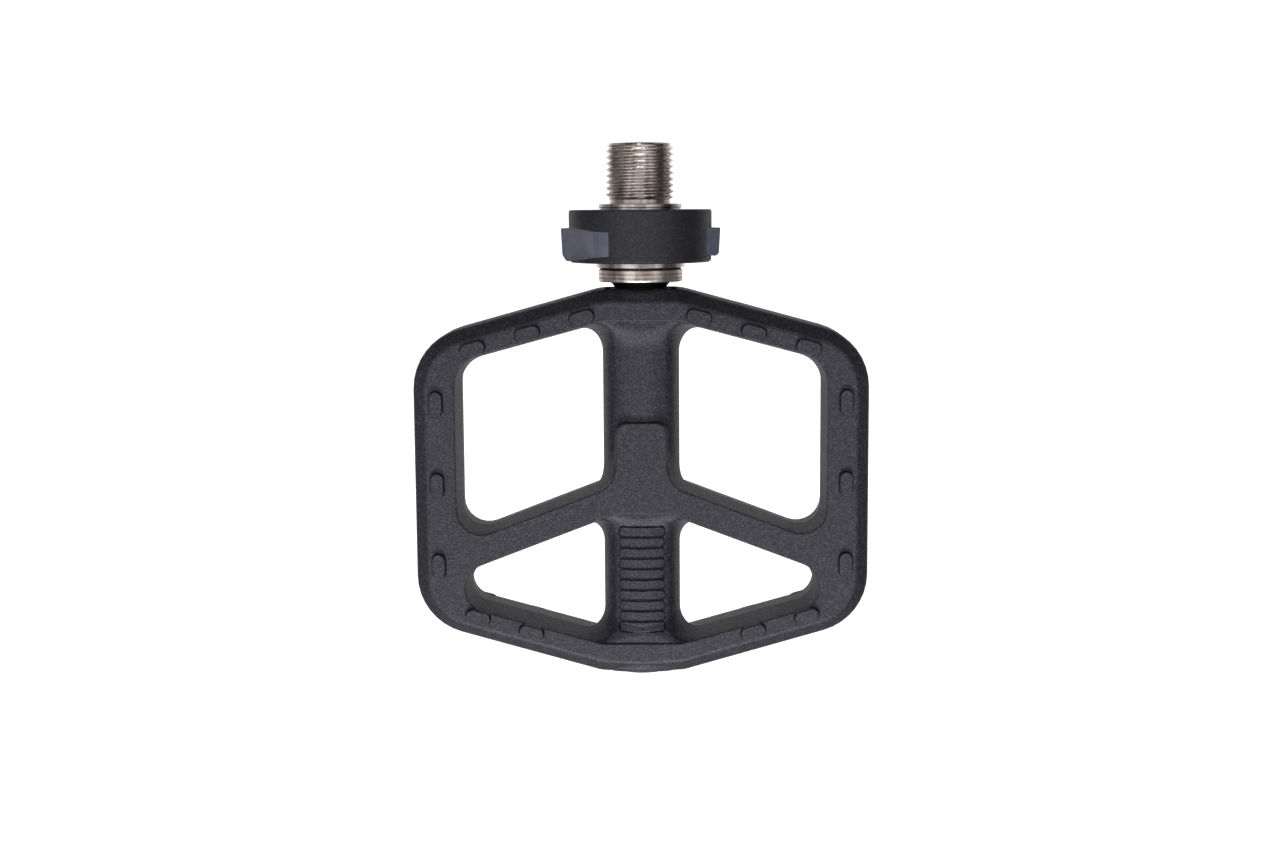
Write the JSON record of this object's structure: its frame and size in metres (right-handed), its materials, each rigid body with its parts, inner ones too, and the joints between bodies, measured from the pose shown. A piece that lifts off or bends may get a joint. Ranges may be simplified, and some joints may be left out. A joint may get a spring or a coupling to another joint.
{
  "type": "quick-release flat bicycle pedal",
  "caption": "Flat platform pedal with studded open cage that spins on a sealed spindle and pulls out of a crank adapter when its twist collar is turned.",
  "frame": {"origin": "on the spindle axis, on the adapter's seat face that bears on the crank", "axes": "+Y along the spindle from the platform towards the crank, +Z out of one tread face, +X to the right when the crank is at the top"},
  "size_m": [0.0954, 0.1117, 0.03],
  "materials": {
    "stainless": "turned stainless steel with fine lathe lines and a soft sheen",
    "cage_moulding": "charcoal glass-filled nylon moulding with a fine sparkling grain",
    "collar_black": "black moulded plastic with a fine spark-eroded grain",
    "lug_grey": "smooth satin blue-grey plastic",
    "rubber_black": "soft black seal rubber",
    "spring_steel": "drawn spring wire",
    "cam_steel": "stamped steel, deburred",
    "zinc_steel": "zinc-plated steel",
    "bush_bronze": "oiled sintered bronze",
    "bearing_steel": "ground and polished bearing steel",
    "bearing_shield": "pressed sheet steel",
    "ball_cage_polymer": "moulded polyamide",
    "cap_black": "moulded dark grey nylon, slightly smoother than the platform"
  },
  "bodies": {
    "adapter": {"adapter_body": "stainless", "retainer_nut": "stainless", "collar_seal": "rubber_black", "lock_wires": "spring_steel", "return_spring": "spring_steel"},
    "collar": {"collar_shell": "collar_black", "collar_cover": "collar_black", "grip_ring": "lug_grey", "cam_ring": "cam_steel"},
    "spindle": {"spindle": "stainless", "mouth_seal": "rubber_black", "lock_washer": "zinc_steel", "lock_nut": "zinc_steel", "inner_bearing_inner_race": "bearing_steel", "outer_bearing_inner_race": "bearing_steel"},
    "platform": {"cage": "cage_moulding", "inboard_bush": "bush_bronze", "dust_seal": "rubber_black", "end_cap": "cap_black", "bearing_circlip": "spring_steel", "inner_bearing_outer_race": "bearing_steel", "inner_bearing_balls": "bearing_steel", "inner_bearing_ball_cage": "ball_cage_polymer", "inner_bearing_shields": "bearing_shield", "outer_bearing_outer_race": "bearing_steel", "outer_bearing_balls": "bearing_steel", "outer_bearing_ball_cage": "ball_cage_polymer", "outer_bearing_shields": "bearing_shield"}
  },
  "joints": [
    {"name": "pedal_pull", "type": "slide", "parent": "adapter", "child": "spindle", "axis": [0, -1, 0], "range_m": [0, 0.025], "deforming": ["lock_wires"]},
    {"name": "collar_turn", "type": "hinge", "parent": "adapter", "child": "collar", "pos_m": [0, -0.007, 0], "axis": [0, -1, 0], "range_deg": [0, 25], "stiffness_Nm_per_rad": 0.2, "springref_deg": -28.65, "deforming": ["lock_wires", "return_spring"]},
    {"name": "platform_spin", "type": "hinge", "parent": "spindle", "child": "platform", "pos_m": [0, -0.058, 0], "axis": [0, 1, 0], "continuous": true}
  ]
}
